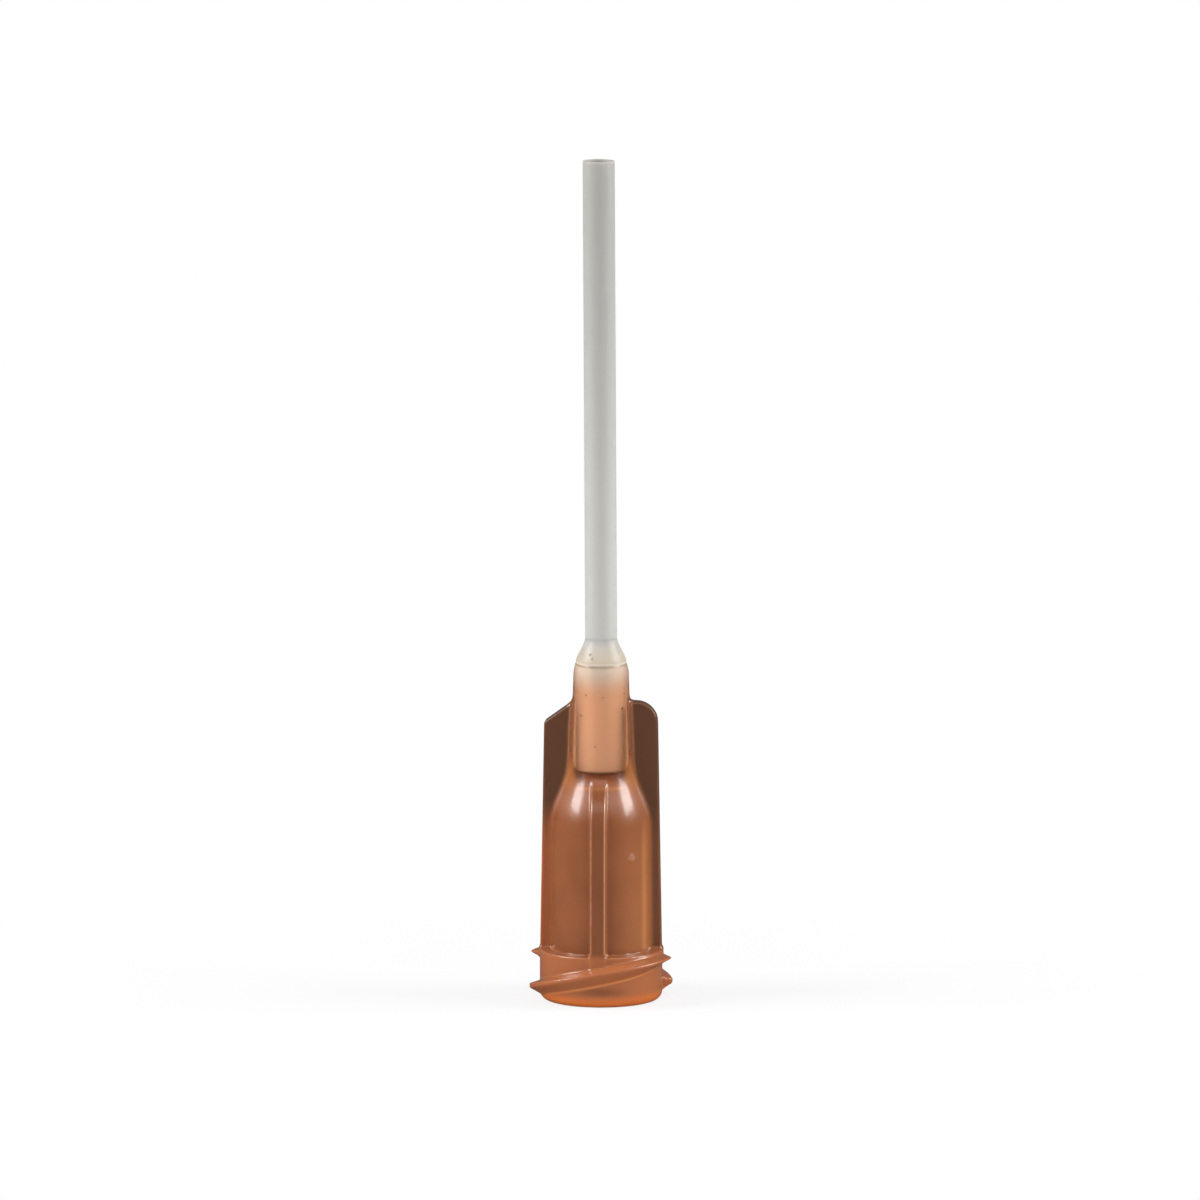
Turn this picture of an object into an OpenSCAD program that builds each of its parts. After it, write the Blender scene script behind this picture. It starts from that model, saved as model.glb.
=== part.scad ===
// Flexible dispensing needle tip: a moulded socket hub with a two-start lock
// thread, a straight flexible tube bonded into its neck, and the bead that bonds it.
// Millimetres. The origin is the centre of the hub's mouth, and +Z runs to the outlet.

/* [Socket] */
// Diameter of the tapered socket at the mouth
socket_mouth_d = 4.30; // [4.27:0.005:4.315]
// Loss of diameter for each millimetre of depth
socket_taper = 0.06; // [0.05:0.005:0.07]
// Depth of the tapered socket
socket_depth = 8.9; // [8:0.1:9.4]
// Width of the lead-in chamfer at the mouth
mouth_chamfer = 0.15; // [0.05:0.01:0.25]

/* [Hub] */
// Diameter of the collar that carries the thread
collar_d = 6.54; // [6.3:0.02:6.7]
// Height of the collar above the mouth
collar_h = 2.74; // [2.6:0.02:3.2]
// Radius of the rounded rim at the mouth
rim_round = 0.48; // [0.3:0.02:0.55]
// Diameter of the body just above the collar
body_d = 5.28; // [5.2:0.02:5.6]
// Diameter of the body where the shoulder starts
body_top_d = 5.18; // [5.1:0.02:5.28]
// Height at which the shoulder leaves the body
shoulder_z = 9.4; // [9.2:0.1:9.8]
// Height at which the shoulder runs out into the neck
neck_z = 12.9; // [12.7:0.1:13.4]
// Diameter of the neck at its foot
neck_d = 3.26; // [3.1:0.02:3.5]
// Diameter of the neck just below its lip
neck_top_d = 2.94; // [2.8:0.02:3.1]
// Height of the neck's lip above the mouth
hub_h = 18.2; // [17.6:0.1:19]
// Height of the cone at the neck's lip
lip_h = 0.5; // [0.4:0.05:0.8]
// Diameter of the neck's lip
lip_d = 2.7; // [2.5:0.02:2.76]
// Height of the shelf that the tube stands on
shelf_z = 12.3; // [12.1:0.1:12.8]
// Thickness of that shelf above the funnel
shelf_t = 0.6; // [0.4:0.05:0.8]

/* [Wings and ribs] */
// Thickness of the two wings
wing_t = 0.8; // [0.6:0.02:1]
// Distance from the axis to a wing's edge at the collar
wing_reach = 3.25; // [3.1:0.01:3.26]
// Distance from the axis to a wing's edge at its top
wing_top_reach = 3.03; // [2.9:0.01:3.1]
// Height of the wings where they leave the neck
wing_h = 16.1; // [15:0.1:16.6]
// Drop of the sloping wing's edge from the neck to its corner
wing_slope_drop = 1.0; // [0.6:0.1:1.6]
// Corner radius of the sloping wing
slope_corner_r = 0.25; // [0.1:0.05:0.4]
// Corner radius of the rounded wing
round_corner_r = 1.15; // [0.6:0.05:1.3]
// Width of the front and back ribs
rib_w = 0.78; // [0.6:0.01:1]
// Distance from the axis to a rib's face at its foot
rib_reach = 3.33; // [3.28:0.01:3.4]
// Distance from the axis to a rib's face at its top
rib_top_reach = 3.16; // [3:0.01:3.2]
// Height at which the ribs start, inside the thread
rib_z = 1.5; // [1.3:0.1:1.8]
// Height at which a rib's face ends and its slope begins
rib_h = 10.6; // [10:0.1:11]

/* [Lock thread] */
// Outside diameter of the thread
thread_d = 7.80; // [7.6:0.02:7.83]
// Lead of each of the two starts
thread_lead = 5; // [4.8:0.1:5.2]
// Lead of the flight's underside, which is less, so the flight narrows
underside_lead = 4.3; // [4:0.1:4.6]
// Height of the crest's upper edge at its start
crest_z = 0.88; // [0.8:0.02:1]
// Height at which the crest stops climbing
crest_cap_z = 2.42; // [2.2:0.02:2.5]
// Width of the flat on the crest
crest_w = 0.24; // [0.16:0.02:0.3]
// Height of the upper flank, from the root to the crest
upper_flank_h = 0.34; // [0.25:0.01:0.4]
// Depth of the underside's root below the crest's upper edge, at the start
flight_depth = 0.80; // [0.7:0.02:0.86]
// Angle that each flight covers
flight_span = 172; // [160:1:178]
// Angle over which the flight runs out at its end
run_out = 14; // [10:1:30]
// Angle over which the flight rises at its start
run_in = 5; // [4:1:12]
// Angle of the first flight's start, from +X
flight_angle = -171; // [-176:1:-150]

/* [Gate] */
// Diameter of the gate mark on the body
gate_d = 0.42; // [0.3:0.02:0.6]
// How far the gate mark stands out of the body
gate_proud = 0.09; // [0.05:0.01:0.15]
// Height of the gate mark
gate_z = 7.95; // [6:0.05:9]
// Angle of the gate mark, from +X
gate_angle = -48; // [-60:1:-30]

/* [Tube] */
// Outside diameter of the tube
tube_d = 1.70; // [1.6:0.01:1.84]
// Bore of the tube
tube_bore_d = 1.37; // [1.2:0.01:1.45]
// Free length of the tube above the bead
tube_free = 25.4; // [12.7:0.1:38.1]

/* [Bond] */
// Thickness of the adhesive between the tube and the neck
bond_t = 0.06; // [0.04:0.01:0.08]
// Height of the bead above the neck's lip
bead_h = 1.4; // [1:0.05:1.8]
// Height of the cup in the neck that the bead fills
cup_h = 0.9; // [0.6:0.05:1.2]
// Thickness of the neck's lip around the cup
lip_t = 0.15; // [0.06:0.01:0.18]
// Thickness of the bead where it ends on the tube
bead_edge = 0.02; // [0.02:0.005:0.04]

/* [Hidden] */
$fn = 64;

tube_r = tube_d / 2;
tube_bore_r = tube_bore_d / 2;
bond_r = tube_r + bond_t;
collar_r = collar_d / 2;
thread_r = thread_d / 2;
cup_r = lip_d / 2 - lip_t;
bead_top_z = hub_h + bead_h;
tube_top_z = bead_top_z + tube_free;
funnel_z = shelf_z - shelf_t;
// Steps along each curve, and how far one shape is sunk into another that it joins
arc_steps = 5;
shoulder_steps = 10;
flight_steps = 44;
bite = 0.15;
collar_edge = 0.12;
bead_lead = 0.85;

function ease(t) = t * t * (3 - 2 * t);
function mix(a, b, t) = a + (b - a) * t;
function socket_r(z) = (socket_mouth_d - socket_taper * z) / 2;

// Points on an arc of radius r about c, from angle a to angle b
function arc(c, r, a, b, steps = arc_steps) =
    [for (i = [0:steps]) c + r * [cos(mix(a, b, i / steps)), sin(mix(a, b, i / steps))]];

// Points of an S-curve from p to q, upright at both ends, that turns early where lead is under 1
function s_curve(p, q, lead = 1, steps = shoulder_steps) =
    [for (i = [0:steps]) [mix(p.x, q.x, ease(pow(i / steps, lead))), mix(p.y, q.y, i / steps)]];

// The hub's outline from the axis at the mouth to the axis at the lip
function hub_outline() = concat(
    [[0, 0]],
    arc([collar_r - rim_round, rim_round], rim_round, -90, 0),
    arc([collar_r - collar_edge, collar_h - collar_edge], collar_edge, 0, 90),
    arc([body_d / 2 + collar_edge, collar_h + collar_edge], collar_edge, 270, 180),
    s_curve([body_top_d / 2, shoulder_z], [neck_d / 2, neck_z]),
    [[neck_top_d / 2, hub_h - lip_h], [lip_d / 2, hub_h], [0, hub_h]]
);

// The way through the hub: socket, funnel, passage, tube seat and cup
function hub_way() = concat(
    [[0, -1], [socket_r(0) + mouth_chamfer, -1], [socket_r(0) + mouth_chamfer, 0]],
    [[socket_r(mouth_chamfer), mouth_chamfer]],
    s_curve([socket_r(socket_depth), socket_depth], [tube_bore_r, funnel_z]),
    [[tube_bore_r, shelf_z], [bond_r, shelf_z], [bond_r, hub_h - cup_h]],
    [[cup_r, hub_h], [cup_r, hub_h + 1], [0, hub_h + 1]]
);

// A flat plate in the XZ plane, centred on Y
module plate(outline, thickness) {
    rotate([90, 0, 0]) linear_extrude(thickness, center = true) polygon(outline);
}

// One flight of the lock thread, as a closed skin over its cross-sections
module flight() {
    root = collar_r - bite;
    fillet_r = collar_r + bite * 0.6;
    function rise(t) = ease(min(1, t / run_in)) * ease(min(1, (flight_span - t) / run_out));
    function top(t) = min(crest_z + thread_lead * t / 360, crest_cap_z);
    function foot(t) = crest_z - flight_depth + underside_lead * t / 360;
    function section(t) =
        let (crest = mix(collar_r - bite / 2, thread_r, rise(t)))
        let (shallow = min(crest, fillet_r), up = top(t), down = foot(t))
        let (land = min(crest_w, (up - down) / 2), slope = up - land - down)
        [
            [root, down - 0.02], [shallow, down + slope * 0.3], [crest, up - land],
            [crest, up], [shallow, up + upper_flank_h * 0.55], [root, up + upper_flank_h * 1.2]
        ];
    sides = len(section(0));
    points = [
        for (i = [0:flight_steps])
            let (t = flight_span * i / flight_steps)
            for (p = section(t)) [p.x * cos(t), p.x * sin(t), p.y]
    ];
    skin = [
        for (i = [0:flight_steps - 1], j = [0:sides - 1])
            let (a = i * sides + j, b = i * sides + (j + 1) % sides)
            [a, b, b + sides, a + sides]
    ];
    start_cap = [for (j = [sides - 1:-1:0]) j];
    end_cap = [for (j = [0:sides - 1]) flight_steps * sides + j];
    polyhedron(points, concat([start_cap], skin, [end_cap]));
}

module wings() {
    foot = collar_h - 2 * bite;
    corner_z = wing_h - wing_slope_drop;
    sloping = concat(
        [[0, foot], [wing_reach, foot]],
        arc([wing_top_reach - slope_corner_r, corner_z - slope_corner_r], slope_corner_r, 0, 60, 4),
        [[neck_top_d / 2, wing_h], [0, wing_h]]
    );
    rounded = concat(
        [[0, foot], [wing_reach, foot]],
        arc([wing_top_reach - round_corner_r, wing_h - round_corner_r], round_corner_r, 0, 90),
        [[0, wing_h]]
    );
    plate(rounded, wing_t);
    rotate(180) plate(sloping, wing_t);
}

module ribs() {
    outline = [
        [0, rib_z], [rib_reach, rib_z], [rib_top_reach, rib_h - 0.2], [rib_top_reach - 0.12, rib_h],
        [neck_d / 2 + 0.12, neck_z - 0.9], [0, neck_z - 0.9]
    ];
    for (a = [-90, 90]) rotate(a) plate(outline, rib_w);
}

module gate_mark() {
    rotate(gate_angle) translate([0, 0, gate_z]) rotate([0, 90, 0])
        cylinder(d = gate_d, h = body_top_d / 2 + gate_proud + 0.03);
}

module hub() {
    color("sienna") difference() {
        union() {
            rotate_extrude() polygon(hub_outline());
            wings();
            ribs();
            gate_mark();
            for (a = [0, 180]) rotate(flight_angle + a) flight();
        }
        rotate_extrude() polygon(hub_way());
    }
}

module tube() {
    color("gainsboro") translate([0, 0, shelf_z]) difference() {
        cylinder(r = tube_r, h = tube_top_z - shelf_z);
        translate([0, 0, -1]) cylinder(r = tube_bore_r, h = tube_top_z - shelf_z + 2);
    }
}

module adhesive_bead() {
    color("cornsilk") rotate_extrude() polygon(concat(
        [[tube_r, shelf_z], [bond_r, shelf_z], [bond_r, hub_h - cup_h], [cup_r, hub_h]],
        s_curve([lip_d / 2, hub_h], [tube_r + bead_edge, bead_top_z], bead_lead),
        [[tube_r, bead_top_z]]
    ));
}

hub();
tube();
adhesive_bead();
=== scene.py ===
"""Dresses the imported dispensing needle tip: amber hub, milky tube and adhesive bead."""

import math
from types import SimpleNamespace

import bpy
import numpy as np
import openvdb
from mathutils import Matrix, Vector


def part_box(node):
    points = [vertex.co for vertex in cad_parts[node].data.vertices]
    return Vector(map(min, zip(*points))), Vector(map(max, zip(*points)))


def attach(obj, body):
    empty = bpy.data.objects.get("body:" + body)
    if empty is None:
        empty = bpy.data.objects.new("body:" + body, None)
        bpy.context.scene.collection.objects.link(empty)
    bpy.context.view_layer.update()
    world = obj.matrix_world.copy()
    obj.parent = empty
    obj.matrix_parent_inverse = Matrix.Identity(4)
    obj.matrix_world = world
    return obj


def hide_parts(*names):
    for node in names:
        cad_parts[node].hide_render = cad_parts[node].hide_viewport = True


bl_info = {
    "name": "Dispensing Needle Tip",
    "version": (1, 0, 0),
    "blender": (4, 5, 0),
    "location": "View3D > Sidebar > Needle Tip",
    "description": "Dresses a flexible dispensing needle tip around its packed frame",
    "category": "Object",
}

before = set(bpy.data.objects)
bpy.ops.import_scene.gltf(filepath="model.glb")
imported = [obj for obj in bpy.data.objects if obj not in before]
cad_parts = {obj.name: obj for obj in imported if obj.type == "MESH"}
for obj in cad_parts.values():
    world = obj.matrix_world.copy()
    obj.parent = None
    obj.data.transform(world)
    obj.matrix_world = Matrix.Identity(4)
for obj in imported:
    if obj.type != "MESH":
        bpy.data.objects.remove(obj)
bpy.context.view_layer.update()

MM = 0.001
HUB_LOW, HUB_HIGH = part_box("hub")
TUBE_LOW, TUBE_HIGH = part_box("tube")
BEAD_LOW, BEAD_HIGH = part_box("adhesive_bead")
HUB_TOP = HUB_HIGH.z / MM
SHELF_Z = TUBE_LOW.z / MM
TUBE_TOP = TUBE_HIGH.z / MM
TUBE_R = TUBE_HIGH.x / MM
BEAD_TOP = BEAD_HIGH.z / MM
LIP_R = BEAD_HIGH.x / MM
THREAD_R = HUB_HIGH.y / MM

# Pairs of heights in millimetres, between which the hub's paint changes
RIM_FADE = (0.2, 0.8)
COLLAR_FADE = (2.6, 2.9)
WARM_FADE = (2.5, 7.5)
WING_FADE = (8.0, 11.0)
GLOW_FADE = (10.5, 12.5)
RIB_LINE_FADE = (10.8, 11.6)
CLEAR_FADE = (11.7, 12.5)
LIP_FADE = (HUB_TOP - 1.8, HUB_TOP - 0.2)
# Pairs of distances from the middle plane in millimetres, between which it changes sideways
WING_FROM = (0.8, 1.3)
THROAT_TO = (1.0, 1.5)
SIDE_FROM = (1.1, 1.6)
# Middle and half width in millimetres of the hub's bands of painted light and shade: two along X, the rest
# in height
RIGHT_GLOW_BAND = (2.38, 0.22)
FLIGHT_SHADOW_ACROSS = (0.3, 1.8)
FLIGHT_SHADOW_UP = (0.85, 0.4)
RIB_BEND_BAND = (10.6, 0.6)
SHEEN_BAND = (11.0, 1.2)
THROAT_BAND = (11.62, 0.16)
FLANK_BAND = (12.4, 1.4)
# Name, azimuth and elevation in degrees, width and height in metres and power in watts
LAMPS = (
    ("lamp_left", -74, 30, 0.16, 0.12, 0.66),
    ("lamp_right", 86, 28, 0.17, 0.12, 0.66),
    ("lamp_front", 4, 50, 0.40, 0.16, 0.18),
)
LAMP_DISTANCE = 0.30


def size(name, description, default):
    """A length in millimetres, or an angle in degrees, for a property group."""
    return bpy.props.FloatProperty(name=name, description=description, default=default, min=0)


def tint(name, description, default):
    """A linear colour for a property group."""
    return bpy.props.FloatVectorProperty(
        name=name, description=description, subtype="COLOR", size=3, default=default, min=0, max=1
    )


class HubSizes(bpy.types.PropertyGroup):
    """Sizes of the moulded hub, in millimetres."""

    voxel: size("Voxel", "Cell of the grid that the hub's skin is drawn from", 0.085)
    outer_voxel: size("Outer voxel", "Width of the grid's cells outside the collar", 0.045)
    thread_voxel: size("Thread voxel", "Height of the grid's cells around the thread", 0.06)
    body_voxel: size("Body voxel", "Height of the grid's cells above the thread", 0.12)
    fillet: size("Fillet", "Reach of the fillets where ribs and wings join the body", 0.28)
    collar_r: size("Collar radius", "Radius of the collar under the thread", 3.27)
    collar_h: size("Collar height", "Height of the collar above the mouth", 2.74)
    rim_round: size("Rim round", "Radius of the rounded rim at the mouth", 0.48)
    body_r: size("Body radius", "Radius of the body just above the collar", 2.64)
    body_top_r: size("Body top radius", "Radius of the body at the shoulder", 2.59)
    shoulder_z: size("Shoulder", "Height at which the shoulder leaves the body", 9.4)
    neck_z: size("Neck", "Height at which the shoulder runs out into the neck", 12.9)
    neck_r: size("Neck radius", "Radius of the neck at its foot", 1.63)
    neck_top_r: size("Neck top radius", "Radius of the neck below its lip", 1.47)
    lip_h: size("Lip height", "Height of the cone at the neck's lip", 0.5)
    cup_h: size("Cup height", "Height of the cup that the bead fills", 0.9)
    lip_t: size("Lip wall", "Thickness of the lip around the cup", 0.15)
    brim_h: size("Brim height", "Height of the adhesive's brim over the lip's edge", 0.1)
    bond_t: size("Bond", "Thickness of the adhesive between tube and neck", 0.06)
    bond_bite: size("Bond bite", "How far the adhesive closes on the tube inside it", 0.06)
    bore_bite: size("Bore bite", "How far the hub closes on the tube that fills it", 0.05)
    mouth_chamfer: size("Mouth chamfer", "Width of the lead-in chamfer at the mouth", 0.15)
    edge_ease: size("Edge ease", "Reach of the easing at the mouth's edges and the gate's foot", 0.06)
    socket_r: size("Socket radius", "Radius of the tapered socket at the mouth", 2.15)
    socket_slope: size("Socket slope", "Loss of radius for each millimetre of depth", 0.03)
    socket_depth: size("Socket depth", "Depth of the tapered socket", 8.9)
    funnel_top: size("Funnel top", "Height at which the funnel meets the passage", 11.7)
    passage_r: size("Passage radius", "Radius of the passage under the tube", 0.685)
    gate_r: size("Gate radius", "Radius of the gate mark on the body", 0.16)
    gate_proud: size("Gate height", "How far the gate mark stands out of the body", 0.07)
    gate_edge: size("Gate edge", "Radius of the gate mark's edge", 0.04)
    gate_z: size("Gate place", "Height of the gate mark above the mouth", 7.95)
    gate_angle: bpy.props.FloatProperty(
        name="Gate angle", description="Angle of the gate mark", default=-48.0
    )


class WingSizes(bpy.types.PropertyGroup):
    """Sizes of the two wings and two ribs, in millimetres."""

    thickness: size("Wing thickness", "Thickness of a wing", 0.8)
    reach: size("Wing reach", "Distance from the axis to a wing's edge at the collar", 3.25)
    top_reach: size("Wing top reach", "Distance from the axis to a wing's edge at its top", 3.03)
    height: size("Wing height", "Height of the wings where they leave the neck", 16.1)
    slope_drop: size("Slope drop", "Drop of the sloping wing's edge to its corner", 1.0)
    slope_round: size("Slope corner", "Corner radius of the sloping wing", 0.25)
    corner_round: size("Round corner", "Corner radius of the rounded wing", 1.15)
    edge_round: size("Edge round", "Radius of the long edges of wings and ribs", 0.08)
    rib_width: size("Rib width", "Width of the front and back ribs", 0.78)
    rib_reach: size("Rib reach", "Distance from the axis to a rib's face at its foot", 3.33)
    rib_top_reach: size("Rib top reach", "Distance from the axis to a rib's face at its top", 3.16)
    rib_foot: size("Rib foot", "Height at which the ribs start", 1.5)
    rib_height: size("Rib height", "Height at which a rib's slope begins", 10.6)
    rib_end_drop: size("Rib end", "Drop of a rib's end below the top of the shoulder", 0.9)
    rib_end_bite: size("Rib end bite", "Reach of a rib's end out of the neck's radius", 0.12)
    foot_bite: size("Foot bite", "How far the wings reach down into the collar", 0.3)


class ThreadSizes(bpy.types.PropertyGroup):
    """Sizes of the two-start lock thread, in millimetres and degrees."""

    lead: size("Lead", "Rise of each flight in one turn", 5.0)
    underside_lead: size("Underside lead", "Rise of a flight's underside in one turn", 4.3)
    crest_z: size("Crest height", "Height of the crest's upper edge at its start", 0.88)
    cap_z: size("Crest cap", "Height at which the crest stops climbing", 2.42)
    crest_w: size("Crest width", "Width of the flat on the crest at the flight's start", 0.24)
    crest_end_w: size("Crest end", "Width of the flat on the crest at the flight's end", 0.06)
    flank_h: size("Upper flank", "Height of the upper flank", 0.34)
    depth: size("Depth", "Depth of the underside's root below the crest at the start", 0.8)
    start_lift: size("Start lift", "How much higher the underside lies at the flight's start", 0.14)
    span: size("Span", "Angle that each flight covers", 172.0)
    crest_ease: size("Crest ease", "Height over which the crest levels off", 0.6)
    lift_span: size("Lift span", "Angle over which the raised underside comes down", 25.0)
    root_bite: size("Root bite", "Depth of a flight's root inside the collar", 0.45)
    end_bite: size("End bite", "Depth inside the collar at which a flight starts and ends", 0.3)
    fillet_reach: size("Fillet reach", "Distance from the collar at which a flight's flanks bend", 0.09)
    run_in: size("Run-in", "Angle over which a flight rises at its start", 5.0)
    run_out: size("Run-out", "Angle over which a flight runs out at its end", 14.0)
    start: bpy.props.FloatProperty(
        name="Start", description="Angle of the first flight's start", default=-171.0
    )


class TubeSizes(bpy.types.PropertyGroup):
    """Sizes of the flexible tube, in millimetres."""

    bore_r: size("Bore radius", "Radius of the tube's bore", 0.685)
    lean: size("Lean", "How far the free end leans to one side", 0.13)


class TipColours(bpy.types.PropertyGroup):
    """Colours of the needle tip."""

    amber: tint("Amber", "Body of the hub", (0.286, 0.086, 0.025))
    # Painted shade: the wings' upper parts, where little light comes through them
    wing_shade_amber: tint("Dark amber", "Free-standing part of the wings", (0.135, 0.050, 0.018))
    warm_amber: tint("Warm amber", "Foot of the wing that light comes through", (0.46, 0.11, 0.023))
    sheen_amber: tint("Sheen amber", "Shoulder, where the funnel inside scatters light", (0.58, 0.28, 0.19))
    # Painted light: a golden band along the body's right edge and a warmer right side, where light falls on
    # it
    right_glow_amber: tint("Gold amber", "Stretch of the body beside the rounded wing", (0.54, 0.205, 0.065))
    collar_amber: tint("Collar amber", "Collar and thread", (0.46, 0.145, 0.048))
    rim_amber: tint("Rim amber", "Rim at the mouth, where light comes through", (0.78, 0.195, 0.028))
    crease_amber: tint("Crease amber", "Inner corners, where light gathers", (0.56, 0.20, 0.055))
    # Painted glow along the roots of the thread and in its inner corners
    root_amber: tint("Root amber", "Roots of the thread", (0.85, 0.31, 0.09))
    edge_amber: tint("Edge amber", "Outer edges, which scatter light", (0.66, 0.36, 0.23))
    clear_amber: tint("Clear amber", "Clear wall of the neck", (0.98, 0.49, 0.27))
    pale_amber: tint("Pale amber", "Thin wall at the neck's lip", (0.98, 0.92, 0.84))
    lit_amber: tint("Lit amber", "Light that comes through the neck's wall", (1.0, 0.80, 0.62))
    # Painted light: tube and adhesive painted lighter inside the neck, where they are seen through its wall
    lit_in_neck: tint("Bonded", "Tube and adhesive inside the neck", (0.97, 0.88, 0.80))
    # Painted light: near-white adhesive in the cup under the lip, whose surface faces down
    filled: tint("Filled", "Adhesive that fills the cup at the neck's lip", (1.0, 0.97, 0.90))
    milky: tint("Milky", "Flexible tube", (0.53, 0.52, 0.49))
    adhesive: tint("Adhesive", "Cured adhesive", (0.58, 0.49, 0.37))


def direction(azimuth, elevation):
    """The unit vector at an azimuth from the front, to the right, and an elevation, in degrees."""
    turn, rise = math.radians(azimuth), math.radians(elevation)
    return Vector((math.sin(turn) * math.cos(rise), -math.cos(turn) * math.cos(rise), math.sin(rise)))


def shade(colour, share):
    """A share of a colour."""
    return [channel * share for channel in colour]


class Graph:
    """Adds nodes to a tree."""

    def __init__(self, tree):
        self.tree = tree
        tree.nodes.clear()

    def node(self, kind, settings=None, **sockets):
        """Adds a node, first with its settings and then with its sockets' values or links."""
        made = self.tree.nodes.new(kind)
        for name, value in (settings or {}).items():
            setattr(made, name, value)
        for name, value in sockets.items():
            self.feed(made.inputs[name.replace("_", " ")], value)
        return made

    def feed(self, socket, value):
        """Links a socket or sets its value."""
        if isinstance(value, Value):
            value = value.socket
        if isinstance(value, bpy.types.NodeSocket):
            self.tree.links.new(value, socket)
        elif socket.type == "RGBA" and len(value) == 3:
            socket.default_value = (*value, 1)
        else:
            socket.default_value = value

    def mix(self, factor, first, second):
        """A colour between two colours."""
        made = self.tree.nodes.new("ShaderNodeMix")
        made.data_type = "RGBA"
        sockets = {s.identifier: s for s in made.inputs}
        self.feed(sockets["Factor_Float"], factor)
        self.feed(sockets["A_Color"], first)
        self.feed(sockets["B_Color"], second)
        return next(s for s in made.outputs if s.identifier == "Result_Color")

    def blend(self, factor, first, second):
        """A shader between two shader nodes."""
        made = self.node("ShaderNodeMixShader", Fac=factor)
        self.tree.links.new(first.outputs[0], made.inputs[1])
        self.tree.links.new(second.outputs[0], made.inputs[2])
        return made

    def place(self):
        """The point's place on the object as three values in millimetres."""
        point = self.node("ShaderNodeTexCoord").outputs["Object"]
        split = self.node("ShaderNodeSeparateXYZ", Vector=point)
        return [Value(self, split.outputs[axis]) * (1 / MM) for axis in "XYZ"]

    def ray_kinds(self):
        """1 for rays from the camera, and 1 for mirrored rays, else 0."""
        path = self.node("ShaderNodeLightPath").outputs
        seen, glossy, through = (
            Value(self, path[name]) for name in ("Is Camera Ray", "Is Glossy Ray", "Is Transmission Ray")
        )
        return seen, glossy * (1 - through)

    def attribute(self, name):
        """A value stored on the piece's own points."""
        made = self.node("ShaderNodeAttribute", {"attribute_name": name})
        return Value(self, made.outputs["Fac"])

    def noise(self, scale, detail=2.0):
        """Soft noise around 0.5, with its scale in features for each metre."""
        point = self.node("ShaderNodeTexCoord").outputs["Object"]
        made = self.node("ShaderNodeTexNoise", Vector=point, Scale=scale, Detail=detail)
        return Value(self, made.outputs["Fac"])


class Value:
    """A shader value that Python's operators work on."""

    def __init__(self, graph, socket):
        self.graph, self.socket = graph, socket

    def maths(self, operation, *others):
        made = self.graph.node("ShaderNodeMath", {"operation": operation})
        for socket, value in zip(made.inputs, (self, *others)):
            self.graph.feed(socket, value)
        return Value(self.graph, made.outputs[0])

    def __add__(self, other):
        return self.maths("ADD", other)

    def __sub__(self, other):
        return self.maths("SUBTRACT", other)

    def __mul__(self, other):
        return self.maths("MULTIPLY", other)

    def __truediv__(self, other):
        return self.maths("DIVIDE", other)

    def __rsub__(self, other):
        return self * -1 + other

    def __pow__(self, other):
        return self.maths("POWER", other)

    __radd__ = __add__
    __rmul__ = __mul__

    def __abs__(self):
        return self.maths("ABSOLUTE")

    def step(self, low, high):
        """0 up to low, 1 from high, smooth between."""
        made = self.graph.node(
            "ShaderNodeMapRange",
            {"interpolation_type": "SMOOTHSTEP"},
            Value=self, From_Min=low, From_Max=high, To_Min=0.0, To_Max=1.0,
        )
        return Value(self.graph, made.outputs["Result"])

    def band(self, centre, half):
        """1 at the centre, 0 beyond half to each side."""
        return 1 - abs(self - centre).step(0.0, half)


def new_material(name):
    """A named material and the graph that its nodes go in."""
    material = bpy.data.materials.new(name)
    material.use_nodes = True
    return material, Graph(material.node_tree)


def finish_material(name, graph_maker):
    """A named material whose tree graph_maker fills and whose shader it returns."""
    material, graph = new_material(name)
    shader = graph_maker(graph)
    graph.node("ShaderNodeOutputMaterial", Surface=shader)
    return material


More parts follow.
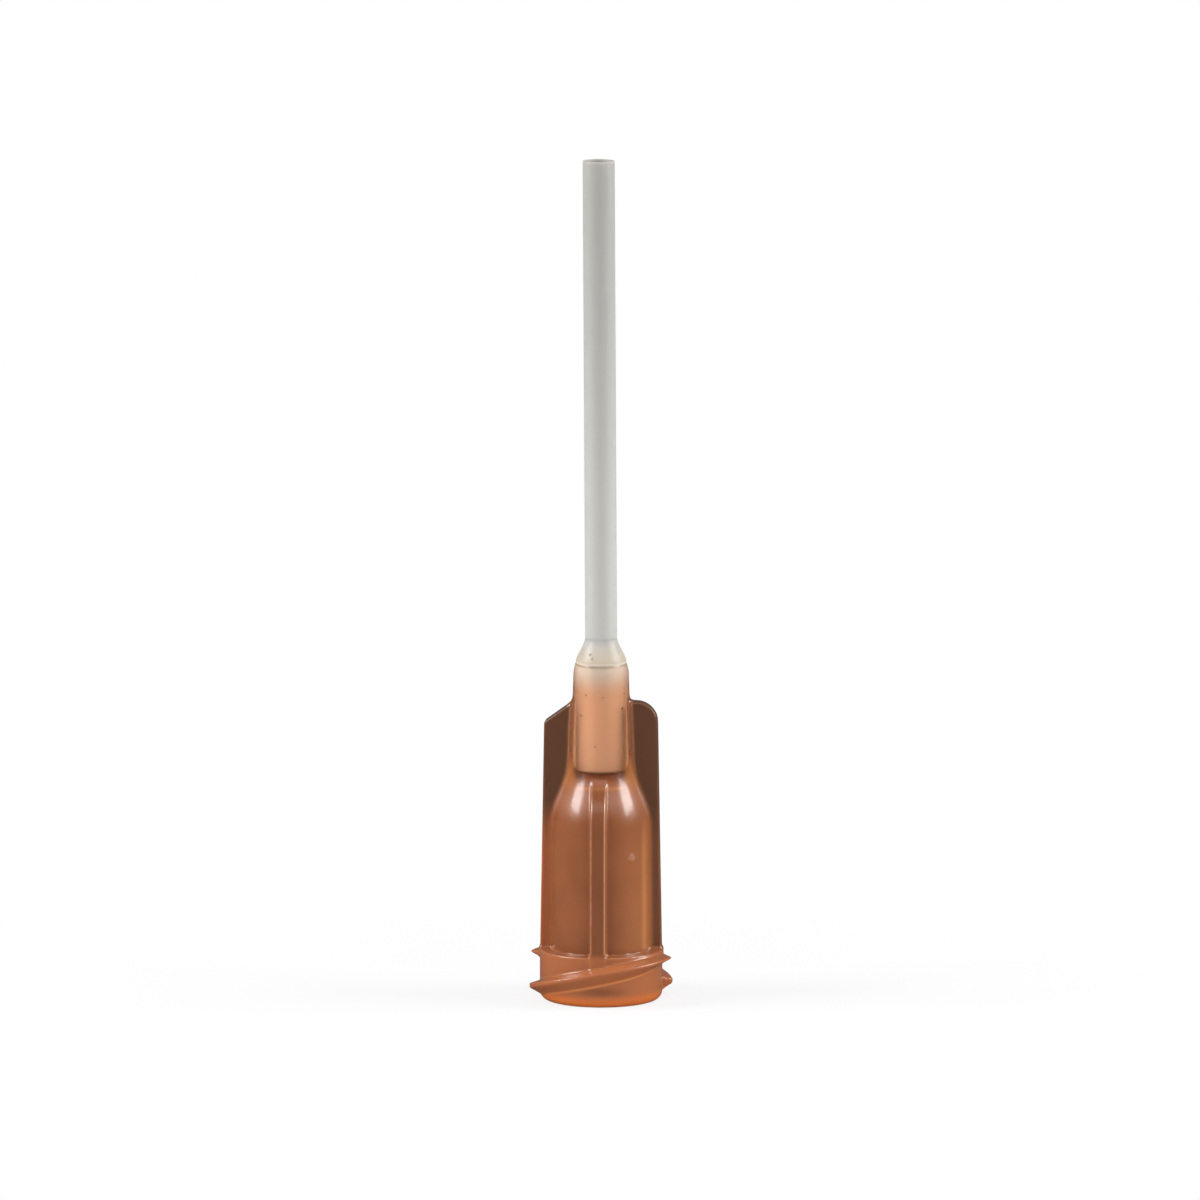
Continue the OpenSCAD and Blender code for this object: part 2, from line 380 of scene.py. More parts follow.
def hub_masks(graph, hub, wings):
    """Values from 0 to 1, by name, that pick out the parts of the hub and the places where light and shade
    are painted on it.
    """
    x, y, z = graph.place()
    proud, crease, under = (graph.attribute(name) for name in ("proud", "crease", "under"))
    stands = proud.step(0.05, 0.3)
    turned = 1 - stands
    wing = stands * abs(x).step(*WING_FROM)
    right = x.step(-1.0, 1.0)
    front = 1 - y.step(-2.0, 0.0)
    wing_low = 1 - z.step(*WING_FADE)
    glow = 1 - z.step(*GLOW_FADE) * 0.7
    above_collar = z.step(hub.collar_h + 0.01, hub.collar_h + 0.21)
    side = turned * abs(x).step(*SIDE_FROM)
    # painted glow: the sides of the neck's foot painted a brighter orange
    flank = z.band(*FLANK_BAND) * side
    # painted light: a golden band at the body's right edge and a warmer right side, less so higher up
    right_glow = x.band(*RIGHT_GLOW_BAND) * 0.6 + x.step(0.3, 2.2) * (0.4 - z.step(*WARM_FADE) * 0.25)
    dashes = graph.noise(2200.0).step(0.42, 0.58) * 0.5 + 0.4
    rib_line = abs(x).band(wings.rib_width / 2 - 0.03, 0.06) * stands * above_collar
    aside = x - hub.body_top_r * math.cos(math.radians(hub.gate_angle))
    above = z - hub.gate_z
    from_gate = (aside * aside + above * above) ** 0.5
    gather = crease.step(0.03, 0.14) * glow
    return SimpleNamespace(
        stands=stands,
        right_glow=right_glow * wing_low * above_collar,
        # painted shade on the wings' upper parts, and more lightly on the right wing's lower part
        wing_shade=wing * (1 - wing_low * (1 - right * 0.6)),
        warm_wing=wing * wing_low * (1 - right),
        sheen=z.band(*SHEEN_BAND) * turned,
        # painted glow: a bright band where the funnel's edge shows through the shoulder
        throat_glow=z.band(*THROAT_BAND) * turned * (1 - abs(x).step(*THROAT_TO)),
        flank=flank,
        collar=1 - z.step(*COLLAR_FADE),
        # painted shade on the upper part of each flight's underside, just below its crest
        underside=under.band(0.75, 0.45),
        # painted glow along the root of each flight's underside
        root=under.band(0.24, 0.2),
        # painted shadow: a darker patch at the front of the collar, under the flights
        flight_shadow=x.band(*FLIGHT_SHADOW_ACROSS) * z.band(*FLIGHT_SHADOW_UP) * front * (1 - under.step(0.0, 0.2)),
        rim=1 - z.step(*RIM_FADE),
        body_crease=gather * above_collar,
        # painted glow in the thread's inner corners
        thread_crease=gather * (1 - above_collar),
        edge=(crease * -1).step(0.05, 0.2) * glow * (1 - z.band(*RIB_BEND_BAND)),
        # painted highlights along the ribs' edges, solid on the right and broken on the left
        rib_edge=rib_line * (1 - z.step(*RIB_LINE_FADE)) * (1 - (1 - right) * dashes),
        # painted glint on the gate mark
        gate=(1 - from_gate.step(0.1, 0.25)) * (1 - y.step(-1.5, 0.0)),
        clear=z.step(*CLEAR_FADE) * turned * (1 - flank * 0.4 - side * 0.3),
        lip=z.step(*LIP_FADE),
    )


def hub_colour(graph, colours, masks, cloud):
    """The hub's amber with layers painted over it, each with a mask, a weight and a colour; most layers are
    painted light and shade: glows, highlights, a sheen and shadows.
    """
    layers = (
        (cloud.step(0.3, 0.7), 1.0, shade(colours.amber, 1.15)),
        (masks.stands, 0.5, shade(colours.amber, 0.74)),
        (masks.right_glow, 1.0, colours.right_glow_amber),
        (masks.wing_shade, 1.0, colours.wing_shade_amber),
        (masks.warm_wing, 0.75, colours.warm_amber),
        (masks.sheen, 0.35, colours.sheen_amber),
        (masks.throat_glow, 0.7, colours.crease_amber),
        (masks.flank, 0.9, colours.crease_amber),
        (masks.collar, 1.0, colours.collar_amber),
        (masks.underside, 0.2, colours.amber),
        (masks.root, 0.75, colours.root_amber),
        (masks.flight_shadow, 0.8, colours.amber),
        (masks.rim, 0.9, colours.rim_amber),
        (masks.body_crease, 0.4, colours.crease_amber),
        (masks.thread_crease, 0.6, colours.root_amber),
        (masks.edge, 0.4, colours.edge_amber),
        (masks.rib_edge, 0.75, colours.edge_amber),
        (masks.gate, 0.3, colours.edge_amber),
    )
    colour = colours.amber
    for mask, weight, layer in layers:
        colour = graph.mix(mask * weight, colour, layer)
    return colour


def amber_material(colours, hub, wings):
    """Translucent amber plastic: cloudy in the body and wings, clear round the neck."""
    material, graph = new_material("amber_plastic")
    masks = hub_masks(graph, hub, wings)
    cloud = graph.noise(420.0)
    grain = graph.noise(2600.0, 3.0)
    bump = graph.node("ShaderNodeBump", Strength=0.08, Distance=0.00004, Height=grain)
    cloudy = graph.node(
        "ShaderNodeBsdfPrincipled",
        Base_Color=hub_colour(graph, colours, masks, cloud),
        Roughness=cloud * 0.1 + 0.3,
        IOR=1.49,
        Subsurface_Weight=0.25,
        Subsurface_Radius=(1.0, 0.35, 0.15),
        Subsurface_Scale=0.0005,
        Coat_Weight=0.7,
        Coat_Roughness=0.15,
        Normal=bump.outputs[0],
    )
    clear = graph.node(
        "ShaderNodeBsdfPrincipled",
        Base_Color=graph.mix(masks.lip, colours.clear_amber, colours.pale_amber),
        Roughness=0.2,
        IOR=1.49,
        Transmission_Weight=1.0,
        Normal=bump.outputs[0],
    )
    lit = graph.node("ShaderNodeBsdfTransparent", Color=colours.lit_amber)
    shadow = graph.node("ShaderNodeLightPath").outputs["Is Shadow Ray"]
    wall = graph.blend(shadow, clear, lit)
    least_clear, most_clear = 0.06, 0.82
    shown = graph.blend(masks.clear * (most_clear - least_clear) + least_clear, cloudy, wall)
    graph.node("ShaderNodeOutputMaterial", Surface=shown.outputs[0])
    return material


def milky_material(colours):
    """Natural flexible plastic, painted a little brighter at its foot and darker towards its free end as
    painted light and shade, and lighter inside the neck as painted light.
    """

    def make(graph):
        _, _, z = graph.place()
        height = z.step(BEAD_TOP, TUBE_TOP)
        colour = graph.mix(height, shade(colours.milky, 1.04), shade(colours.milky, 0.8))
        colour = graph.mix(z.step(HUB_TOP - 0.4, HUB_TOP), colours.lit_in_neck, colour)
        fine = graph.noise(1500.0, 3.0)
        bump = graph.node("ShaderNodeBump", Strength=0.05, Distance=0.00003, Height=fine)
        return graph.node(
            "ShaderNodeBsdfPrincipled",
            Base_Color=colour,
            Roughness=fine * 0.1 + 0.38,
            IOR=1.49,
            Subsurface_Weight=0.5,
            Subsurface_Radius=(1.0, 0.95, 0.85),
            Subsurface_Scale=0.0005,
            Sheen_Weight=0.25,
            Sheen_Roughness=0.35,
            Normal=bump.outputs[0],
        ).outputs[0]

    return finish_material("milky_plastic", make)


def adhesive_material(colours):
    """Cured adhesive, a little yellow at its foot; inside the neck, where it shows through the amber wall,
    it is painted pale as painted light.
    """

    def make(graph):
        _, _, z = graph.place()
        height = z.step(HUB_TOP - 0.2, BEAD_TOP)
        cloud = graph.noise(900.0)
        colour = graph.mix(height, colours.adhesive, colours.milky)
        colour = graph.mix(cloud.step(0.45, 0.75) * 0.3, colour, shade(colours.adhesive, 0.8))
        pale = graph.mix(z.step(HUB_TOP - 1.8, HUB_TOP - 0.3), colours.lit_in_neck, colours.filled)
        colour = graph.mix(z.step(HUB_TOP - 0.2, HUB_TOP + 0.1), pale, colour)
        return graph.node(
            "ShaderNodeBsdfPrincipled",
            Base_Color=colour,
            Roughness=0.4,
            IOR=1.5,
            Subsurface_Weight=0.6,
            Subsurface_Radius=(1.0, 0.9, 0.7),
            Subsurface_Scale=0.0005,
        ).outputs[0]

    return finish_material("cured_adhesive", make)


def bubble_material():
    """Skin of the tiny bubbles in the adhesive."""

    def make(graph):
        tone = graph.noise(5000.0)
        colour = graph.mix(tone, (0.40, 0.28, 0.20), (0.55, 0.43, 0.34))
        return graph.node(
            "ShaderNodeBsdfPrincipled", Base_Color=colour, Roughness=0.15, IOR=1.4
        ).outputs[0]

    return finish_material("bubble_skin", make)


def ease(t):
    """Smooth rise from 0 to 1."""
    t = np.clip(t, 0, 1)
    return t * t * (3 - 2 * t)


def mix(a, b, t):
    """The value a part t of the way from a to b."""
    return a + (b - a) * t


def arc(centre, radius, start, end, steps=12):
    """Points on an arc, from angle start to angle end in degrees."""
    turns = np.radians(np.linspace(start, end, steps + 1))
    return [(centre[0] + radius * math.cos(t), centre[1] + radius * math.sin(t)) for t in turns]


def s_curve(low, high, steps=24):
    """Points of an S-curve between two points, upright at both ends."""
    return [(mix(low[0], high[0], ease(t)), mix(low[1], high[1], t)) for t in np.linspace(0, 1, steps + 1)]


def outline_distance(u, v, corners):
    """Distance from points to a closed outline, negative inside it."""
    nearest, inside = np.inf, False
    for (au, av), (bu, bv) in zip(corners, corners[1:] + corners[:1]):
        eu, ev, wu, wv = bu - au, bv - av, u - au, v - av
        along = np.clip((wu * eu + wv * ev) / (eu * eu + ev * ev + 1e-12), 0, 1)
        nearest = np.minimum(nearest, (wu - along * eu) ** 2 + (wv - along * ev) ** 2)
        crosses = (av > v) != (bv > v)
        inside = inside ^ (crosses & ((wu - eu * wv / np.where(ev == 0, 1, ev)) < 0))
    return np.sqrt(nearest) * np.where(inside, -1, 1)


def plate_distance(flat, across, half, edge):
    """Distance to a flat plate with rounded edges, from the distance to its outline."""
    out, side = flat + edge, np.abs(across) - half + edge
    return np.minimum(np.maximum(out, side), 0) + np.hypot(np.maximum(out, 0), np.maximum(side, 0)) - edge


def weld(a, b, reach):
    """Union of two solids with a fillet where they meet."""
    near = np.clip(1 - np.abs(a - b) / reach, 0, None)
    return np.minimum(a, b) - near * near * reach / 4


def carve(a, b, reach):
    """Solid a with solid b cut away, with its edge eased."""
    return -weld(-a, b, reach)


def hub_outline(s):
    """Outline of the hub's turned form, from the axis at the mouth to the axis at the lip."""
    return (
        [(0.0, 0.0)]
        + arc((s.collar_r - s.rim_round, s.rim_round), s.rim_round, -90, 0)
        + [(s.collar_r, s.collar_h), (s.body_r, s.collar_h)]
        + s_curve((s.body_top_r, s.shoulder_z), (s.neck_r, s.neck_z))
        + [(s.neck_top_r, HUB_TOP - s.lip_h), (LIP_R, HUB_TOP), (0.0, HUB_TOP)]
    )


def hub_way(s):
    """Outline of the way through the hub; its walls close on the tube that fills it."""
    sunk = TUBE_R - s.bore_bite
    foot = s.socket_r - s.socket_slope * s.socket_depth
    mouth_r, past = s.socket_r + s.mouth_chamfer, 1.0
    return (
        [(-past, -past), (mouth_r, -past), (mouth_r, 0.0), (s.socket_r, s.mouth_chamfer)]
        + s_curve((foot, s.socket_depth), (s.passage_r, s.funnel_top))
        + [(s.passage_r, SHELF_Z), (sunk, SHELF_Z), (sunk, HUB_TOP + past), (-past, HUB_TOP + past)]
    )


def turned_distance(outline, radius, z):
    """Distance to a turned solid, read from a fine table of its outline."""
    step = 0.02
    table_r = np.arange(0, radius.max() + 2 * step, step)
    table = outline_distance(table_r[:, None], z[None, :], outline)
    cell = radius / step
    low = cell.astype(int)
    part = (cell - low)[..., None]
    return table[low] * (1 - part) + table[low + 1] * part


def flight_edges(t, on):
    """Heights of a flight's upper crest edge and of its underside's root, from the angle along it."""
    top = weld(t.crest_z + t.lead * on / 360, np.full_like(on, t.cap_z), t.crest_ease)
    lift = t.start_lift * (1 - ease(on / t.lift_span))
    return top, t.crest_z - t.depth + lift + t.underside_lead * on / 360


def flight_distance(s, t, radius, angle, z):
    """Distance to one flight of the thread, from the section at each point's own angle."""
    turn = (angle - t.start) % 360
    just_before = turn > 270
    turn = np.where(just_before, turn - 360, turn)
    rise = ease(turn / t.run_in) * ease((t.span - turn) / t.run_out)
    on = np.clip(turn, 0, t.span)
    top, foot = flight_edges(t, on)
    land = np.minimum(mix(t.crest_w, t.crest_end_w, on / t.span), (top - foot) / 2)
    root = s.collar_r - t.root_bite
    crest = mix(s.collar_r - t.end_bite, THREAD_R, rise)
    fillet = np.minimum(crest, s.collar_r + t.fillet_reach)
    lower_bend, upper_bend, upper_root, root_drop = 0.3, 0.45, 1.2, 0.02
    section = [
        (root, foot - root_drop), (fillet, mix(foot, top - land, lower_bend)), (crest, top - land),
        (crest, top), (fillet, top + t.flank_h * upper_bend), (root, top + t.flank_h * upper_root),
    ]
    return outline_distance(radius, z, section)


def rib_outline(w, s):
    """Side outline of a rib, from the axis outwards."""
    foot, bend = (w.rib_reach, w.rib_foot), (w.rib_top_reach, w.rib_height)
    top = (s.neck_r + w.rib_end_bite, s.neck_z - w.rib_end_drop)
    bend_below, bend_above = 0.12, 0.5
    start = [mix(b, f, bend_below) for b, f in zip(bend, foot)]
    end = [mix(b, e, bend_above) for b, e in zip(bend, top)]
    rounded = [
        tuple(mix(mix(a, b, t), mix(b, c, t), t) for a, b, c in zip(start, bend, end))
        for t in np.linspace(0, 1, 9)
    ]
    return [(0.0, w.rib_foot), foot, *rounded, top, (0.0, top[1])]


def wing_outlines(w, s):
    """Side outlines of the rounded wing and the sloping wing, from the axis outwards."""
    foot = s.collar_h - w.foot_bite
    corner = w.height - w.slope_drop
    rounded = (
        [(0.0, foot), (w.reach, foot)]
        + arc((w.top_reach - w.corner_round, w.height - w.corner_round), w.corner_round, 0, 90)
        + [(0.0, w.height)]
    )
    sloping = (
        [(0.0, foot), (w.reach, foot)]
        + arc((w.top_reach - w.slope_round, corner - w.slope_round), w.slope_round, 0, 60, 6)
        + [(s.neck_top_r, w.height), (0.0, w.height)]
    )
    return rounded, sloping


def gate_distance(s, x, y, z):
    """Distance to the round gate mark that stands out of the body."""
    turn = math.radians(s.gate_angle)
    out = x[:, None, None] * math.cos(turn) + y[None, :, None] * math.sin(turn)
    aside = y[None, :, None] * math.cos(turn) - x[:, None, None] * math.sin(turn)
    flat = np.hypot(aside, z - s.gate_z) - s.gate_r
    out = np.where(out > 0, out, THREAD_R)
    return plate_distance(flat, out, s.body_top_r + s.gate_proud, s.gate_edge)


def hub_distance(s, w, t, x, y, z):
    """Distance to the whole hub on a grid of points, negative inside its plastic."""
    radius = np.hypot(x[:, None], y[None, :])
    solid = turned_distance(hub_outline(s), radius, z)
    rounded, sloping = wing_outlines(w, s)
    for outline, side in ((rounded, 1), (sloping, -1)):
        flat = outline_distance(x[:, None] * side, z[None, :], outline)[:, None, :]
        wing = plate_distance(flat, y[None, :, None], w.thickness / 2, w.edge_round)
        solid = weld(solid, wing, s.fillet)
    for side in (-1, 1):
        flat = outline_distance(y[:, None] * side, z[None, :], rib_outline(w, s))[None, :, :]
        rib = plate_distance(flat, x[:, None, None], w.rib_width / 2, w.edge_round)
        solid = weld(solid, rib, s.fillet / 2)
    thread_zone = s.collar_h + 1.2
    low = z < thread_zone
    angle = np.degrees(np.arctan2(y[None, :], x[:, None]))[..., None]
    for turned in (0, 180):
        flight = flight_distance(s, t, radius[..., None], angle - turned, z[None, None, low])
        solid[..., low] = weld(solid[..., low], flight, s.fillet / 3)
    solid = weld(solid, gate_distance(s, x, y, z), s.edge_ease)
    return carve(solid, turned_distance(hub_way(s), radius, z), s.edge_ease)


def mark_skin(mesh, s, t):
    """Stores how proud each point stands of the turned form, how creased the skin is there
    and how far up a flight's underside it lies."""
    count = len(mesh.vertices)
    points = np.empty(count * 3)
    mesh.vertices.foreach_get("co", points)
    points = points.reshape(-1, 3) / MM
    proud = outline_distance(np.hypot(points[:, 0], points[:, 1]), points[:, 2], hub_outline(s))
    edges = np.empty(len(mesh.edges) * 2, int)
    mesh.edges.foreach_get("vertices", edges)
    edges = edges.reshape(-1, 2)
    normals = np.empty(count * 3)
    mesh.vertex_normals.foreach_get("vector", normals)
    normals = normals.reshape(-1, 3)
    ends = np.concatenate((edges, edges[:, ::-1]))
    shared = np.bincount(ends[:, 0], minlength=count)
    lean = np.einsum("ij,ij->i", points[ends[:, 1]] - points[ends[:, 0]], normals[ends[:, 0]])
    crease = np.bincount(ends[:, 0], lean, count) / shared / s.voxel
    smoothings = 2
    for _ in range(smoothings):
        crease = (crease + np.bincount(ends[:, 0], crease[ends[:, 1]], count) / shared) / 2
    angle = np.degrees(np.arctan2(points[:, 1], points[:, 0]))
    under = np.full(count, -1.0)
    for turned in (0, 180):
        on = (angle - turned - t.start) % 360
        top, foot = flight_edges(t, on)
        under = np.where(on < t.span, (points[:, 2] - foot) / (top - t.crest_w - foot), under)
    inner = s.collar_r - 0.2
    under[np.hypot(points[:, 0], points[:, 1]) < inner] = -1.0
    for name, values in (("proud", proud), ("crease", crease), ("under", under)):
        mesh.attributes.new(name, "FLOAT", "POINT").data.foreach_set("value", values)


def skin(distance, *axes):
    """Vertices in metres and faces of the skin around a grid of distances on three axes."""
    grid = openvdb.FloatGrid()
    grid.copyFromArray(distance.astype(np.float32))
    points, quads = grid.convertToQuads(isovalue=0.0)
    places = [np.interp(points[:, i], np.arange(len(axis)), axis) for i, axis in enumerate(axes)]
    return np.stack(places, axis=1) * MM, quads


def add_piece(name, mesh, material, slot, *nodes):
    """Puts a finished mesh in the scene as a piece of the root body."""
    made = bpy.data.objects.new(name, mesh)
    bpy.context.collection.objects.link(made)
    mesh.materials.clear()
    mesh.materials.append(material)
    mesh.shade_smooth()
    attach(made, "root")
    if nodes:
        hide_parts(*nodes)
    return made


def lathe(name, outline, closed=True, segments=128):
    """A turned mesh from an outline in millimetres that doesn't touch the axis."""
    turns = np.linspace(0, 2 * math.pi, segments, endpoint=False)
    points = [(r * math.cos(t) * MM, r * math.sin(t) * MM, z * MM) for t in turns for r, z in outline]
    count = len(outline)
    faces = []
    for i in range(segments):
        for j in range(count if closed else count - 1):
            a, b = i * count, (i + 1) % segments * count
            k = (j + 1) % count
            faces.append((a + j, b + j, b + k, a + k))
    mesh = bpy.data.meshes.new(name)
    mesh.from_pydata(points, [], faces)
    return mesh


class NEEDLETIP_OT_hub(bpy.types.Operator):
    """Make the moulded amber hub with its thread, wings and ribs."""

    bl_idname = "needletip.hub"
    bl_label = "Amber Hub"

    def execute(self, context):
        scene = context.scene
        s, w, t = scene.tip_hub, scene.tip_wings, scene.tip_thread
        margin = 3 * s.voxel
        low = np.array(HUB_LOW) / MM - margin
        high = np.array(HUB_HIGH) / MM + margin
        outer = s.collar_r - 0.1
        side = np.concatenate((
            np.arange(s.voxel / 2, outer, s.voxel),
            np.arange(outer, high[1], s.outer_voxel),
        ))
        x = y = np.concatenate((-side[::-1], side))
        thread_top = s.collar_h + 1
        z = np.concatenate((
            np.arange(low[2], thread_top, s.thread_voxel),
            np.arange(thread_top, high[2] + s.body_voxel, s.body_voxel),
        ))
        points, quads = skin(hub_distance(s, w, t, x, y, z), x, y, z)
        mesh = bpy.data.meshes.new("hub_skin")
        mesh.from_pydata(points.tolist(), [], quads.tolist())
        mark_skin(mesh, s, t)
        add_piece("moulded_hub", mesh, amber_material(scene.tip_colours, s, w), "amber_plastic", "hub")
        return {"FINISHED"}


class NEEDLETIP_OT_tube(bpy.types.Operator):
    """Make the flexible tube with its bore."""

    bl_idname = "needletip.tube"
    bl_label = "Flexible Tube"

    def execute(self, context):
        scene = context.scene
        bore, ease_r = scene.tip_tube.bore_r, 0.04
        rise = [*np.linspace(SHELF_Z, TUBE_TOP - 4 * ease_r, 40), TUBE_TOP - 2 * ease_r]
        outline = (
            [(TUBE_R, z) for z in rise]
            + arc((TUBE_R - ease_r, TUBE_TOP - ease_r), ease_r, 0, 90, 4)
            + arc((bore + ease_r, TUBE_TOP - ease_r), ease_r, 90, 180, 4)
            + [(bore, SHELF_Z)]
        )
        mesh = lathe("tube_wall", outline)
        lean, span = scene.tip_tube.lean, TUBE_TOP - BEAD_TOP
        for vertex in mesh.vertices:
            up = max(0.0, vertex.co.z / MM - BEAD_TOP) / span
            vertex.co.x -= lean * up * MM
        add_piece("flexible_tube", mesh, milky_material(scene.tip_colours), "milky_plastic", "tube")
        return {"FINISHED"}


class NEEDLETIP_OT_bead(bpy.types.Operator):
    """Make the bead of cured adhesive and its bubbles."""

    bl_idname = "needletip.bead"
    bl_label = "Adhesive Bead"

    def execute(self, context):
        scene = context.scene
        s = scene.tip_hub
        layer, cup, cone = bead_curves(s)
        sunk = TUBE_R - s.bond_bite
        brim = [
            (LIP_R - s.brim_h / 2, HUB_TOP - 1.2 * s.brim_h),
            (LIP_R, HUB_TOP - s.brim_h),
            (LIP_R, HUB_TOP - s.brim_h / 2),
        ]
        outline = [(sunk, SHELF_Z)] + layer + cup + brim + cone + [(sunk, BEAD_TOP)]
        mesh = lathe("bead_skin", outline)
        adhesive = adhesive_material(scene.tip_colours)
        add_piece("adhesive_bead_skin", mesh, adhesive, "cured_adhesive", "adhesive_bead")
        skin_material = bubble_material()
        bubbles = grow(bubble_film(s), bubble_tree(skin_material), Seed=21)
        add_piece("adhesive_bubbles", bubbles, skin_material, "cured_adhesive")
        return {"FINISHED"}


def bead_curves(s):
    """The adhesive's layer round the tube, the cup that it fills and the cone above the lip."""
    layer_r, cup_foot, lead = TUBE_R + s.bond_t, HUB_TOP - 2 * s.cup_h, 0.85
    layer = [(layer_r, z) for z in np.linspace(SHELF_Z, cup_foot, 30)]
    cup = s_curve((layer_r, cup_foot), (LIP_R - s.lip_t, HUB_TOP - 1.4 * s.brim_h), 12)[1:]
    cone_r = TUBE_R - 0.01
    cone = [
        (mix(LIP_R, cone_r, ease(t ** lead)), mix(HUB_TOP, BEAD_TOP, t)) for t in np.linspace(0, 1, 30)
    ]
    return layer, cup, cone


def bubble_film(s):
    """The open skin, just inside the adhesive, that bubbles are scattered over."""
    layer, _, cone = bead_curves(s)
    sunk = 0.015
    away_from_ends = layer[2:] + cone[3:-6]
    return lathe("film", [(r - sunk, z) for r, z in away_from_ends], closed=False)


def bubble_tree(material):
    """A geometry tree that scatters bubbles over a surface."""
    tree = bpy.data.node_groups.new("bubbles", "GeometryNodeTree")
    for name, way, kind in (
        ("Surface", "INPUT", "NodeSocketGeometry"),
        ("Seed", "INPUT", "NodeSocketInt"),
        ("Bubbles", "OUTPUT", "NodeSocketGeometry"),
    ):
        tree.interface.new_socket(name, in_out=way, socket_type=kind)
    density, radius, least, most = 4.5e5, 0.062 * MM, 0.35, 1.3
    graph = Graph(tree)
    given = graph.node("NodeGroupInput").outputs
    points = graph.node(
        "GeometryNodeDistributePointsOnFaces", Mesh=given["Surface"], Density=density, Seed=given["Seed"]
    )
    ball = graph.node("GeometryNodeMeshIcoSphere", Radius=radius, Subdivisions=3)
    spread = graph.node("FunctionNodeRandomValue", {"data_type": "FLOAT"})
    graph.feed(spread.inputs[2], least)
    graph.feed(spread.inputs[3], most)
    placed = graph.node(
        "GeometryNodeInstanceOnPoints", Points=points.outputs["Points"], Instance=ball.outputs[0],
        Scale=spread.outputs[1],
    )
    real = graph.node("GeometryNodeRealizeInstances", Geometry=placed.outputs[0])
    dressed = graph.node("GeometryNodeSetMaterial", Geometry=real.outputs[0], Material=material)
    graph.feed(graph.node("NodeGroupOutput").inputs["Bubbles"], dressed.outputs[0])
    return tree


def grow(mesh, tree, **inputs):
    """The mesh that a geometry tree makes from another, with the tree's inputs set by name."""
    host = bpy.data.objects.new("host", mesh)
    bpy.context.collection.objects.link(host)
    modifier = host.modifiers.new("tree", "NODES")
    modifier.node_group = tree
    for socket in tree.interface.items_tree:
        if socket.name in inputs:
            modifier[socket.identifier] = inputs[socket.name]
    made = bpy.data.meshes.new_from_object(host.evaluated_get(bpy.context.evaluated_depsgraph_get()))
    bpy.data.objects.remove(host)
    return made


def area_light(name, azimuth, elevation, width, height, power):
    """A soft lamp that points at the middle of the tip."""
    middle = Vector((0, 0, TUBE_TOP * MM / 2))
    lamp = bpy.data.lights.new(name, "AREA")
    lamp.shape = "RECTANGLE"
    lamp.size, lamp.size_y, lamp.energy = width, height, power
    made = bpy.data.objects.new(name, lamp)
    back = direction(azimuth, elevation)
    made.location = middle + back * LAMP_DISTANCE
    made.rotation_euler = back.to_track_quat("Z", "Y").to_euler()
    bpy.context.collection.objects.link(made)


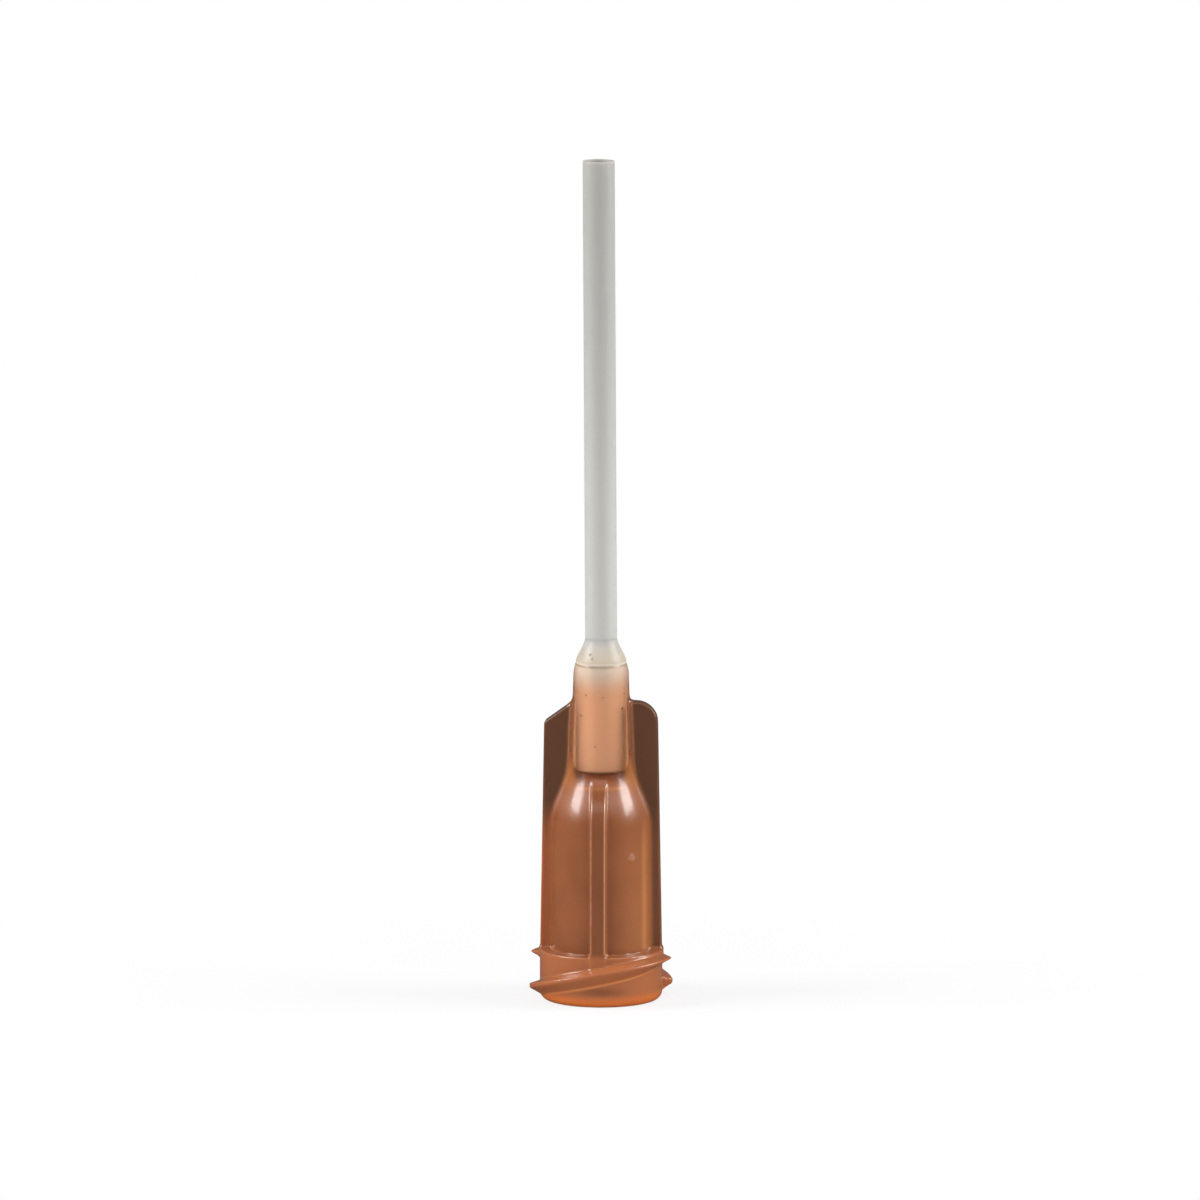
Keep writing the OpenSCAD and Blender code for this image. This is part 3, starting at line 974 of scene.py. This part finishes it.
class NEEDLETIP_OT_stage(bpy.types.Operator):
    """Make the floor, the white surround, the soft lamps and the camera."""

    bl_idname = "needletip.stage"
    bl_label = "Stage"

    def execute(self, context):
        scene = context.scene
        for lamp in LAMPS:
            area_light(*lamp)
        self.add_floor()
        self.add_world(scene)
        self.add_camera(scene)
        scene.view_settings.view_transform = "Standard"
        return {"FINISHED"}

    def add_floor(self):
        """A large pale floor that shows only the contact shadow."""
        half = 1.2
        mesh = bpy.data.meshes.new("floor")
        corners = [(-half, -half, 0), (half, -half, 0), (half, half, 0), (-half, half, 0)]
        mesh.from_pydata(corners, [], [(0, 1, 2, 3)])
        floor = bpy.data.objects.new("floor", mesh)
        bpy.context.collection.objects.link(floor)
        material, graph = new_material("floor_white")
        paint = graph.node("ShaderNodeBsdfDiffuse", Color=(0.85, 0.85, 0.85))
        glow = graph.node("ShaderNodeEmission", Color=(1, 1, 1), Strength=1.0)
        seen, mirrored = graph.ray_kinds()
        x, y, _ = graph.place()
        shadow_to, white_from, least_glow = 8.0, 40.0, 0.8
        far = ((x * x + y * y) ** 0.5).step(shadow_to, white_from)
        dark = graph.node("ShaderNodeBsdfDiffuse", Color=(0.1, 0.1, 0.1))
        ground = graph.blend(mirrored, paint, dark)
        shown = graph.blend(seen * (far * (1 - least_glow) + least_glow), ground, glow)
        graph.node("ShaderNodeOutputMaterial", Surface=shown.outputs[0])
        mesh.materials.append(material)

    def add_world(self, scene):
        """A dim surround that the camera and clear plastic see as white."""
        world = bpy.data.worlds.new("surround")
        scene.world = world
        world.use_nodes = True
        graph = Graph(world.node_tree)
        seen, gloss = graph.ray_kinds()
        around, mirrored = 0.38, 0.12
        strength = seen * (1 - around) - gloss * (around - mirrored) + around
        background = graph.node("ShaderNodeBackground", Color=(1, 1, 1), Strength=strength)
        graph.node("ShaderNodeOutputWorld", Surface=background.outputs[0])

    def add_camera(self, scene):
        """A long lens at a low angle, a little to the right."""
        azimuth, elevation, view_width = 3.4, 8.5, 63.8 * MM
        aim = Vector((-0.06 * MM, 0, 21.5 * MM))
        data = bpy.data.cameras.new("camera")
        data.lens, data.sensor_width = 400.0, 36.0
        data.clip_start, data.clip_end = 0.05, 20.0
        distance = view_width * data.lens / data.sensor_width
        back = direction(azimuth, elevation)
        camera = bpy.data.objects.new("camera", data)
        camera.location = aim + back * distance
        camera.rotation_euler = back.to_track_quat("Z", "Y").to_euler()
        bpy.context.collection.objects.link(camera)
        scene.camera = camera


class NEEDLETIP_PT_panel(bpy.types.Panel):
    """Lists the pieces of the needle tip."""

    bl_idname = "NEEDLETIP_PT_panel"
    bl_label = "Needle Tip"
    bl_space_type = "VIEW_3D"
    bl_region_type = "UI"
    bl_category = "Needle Tip"

    def draw(self, context):
        for operator in OPERATORS:
            self.layout.operator(operator.bl_idname)


OPERATORS = (NEEDLETIP_OT_hub, NEEDLETIP_OT_tube, NEEDLETIP_OT_bead, NEEDLETIP_OT_stage)
GROUPS = {
    "tip_hub": HubSizes,
    "tip_wings": WingSizes,
    "tip_thread": ThreadSizes,
    "tip_tube": TubeSizes,
    "tip_colours": TipColours,
}


def register():
    for made in (*GROUPS.values(), *OPERATORS, NEEDLETIP_PT_panel):
        bpy.utils.register_class(made)
    for name, group in GROUPS.items():
        setattr(bpy.types.Scene, name, bpy.props.PointerProperty(type=group))


def unregister():
    for name in GROUPS:
        delattr(bpy.types.Scene, name)
    for made in reversed((*GROUPS.values(), *OPERATORS, NEEDLETIP_PT_panel)):
        bpy.utils.unregister_class(made)


def main():
    """Makes every piece in order."""
    register()
    bpy.ops.needletip.hub()
    bpy.ops.needletip.tube()
    bpy.ops.needletip.bead()
    bpy.ops.needletip.stage()


if __name__ == "__main__":
    main()
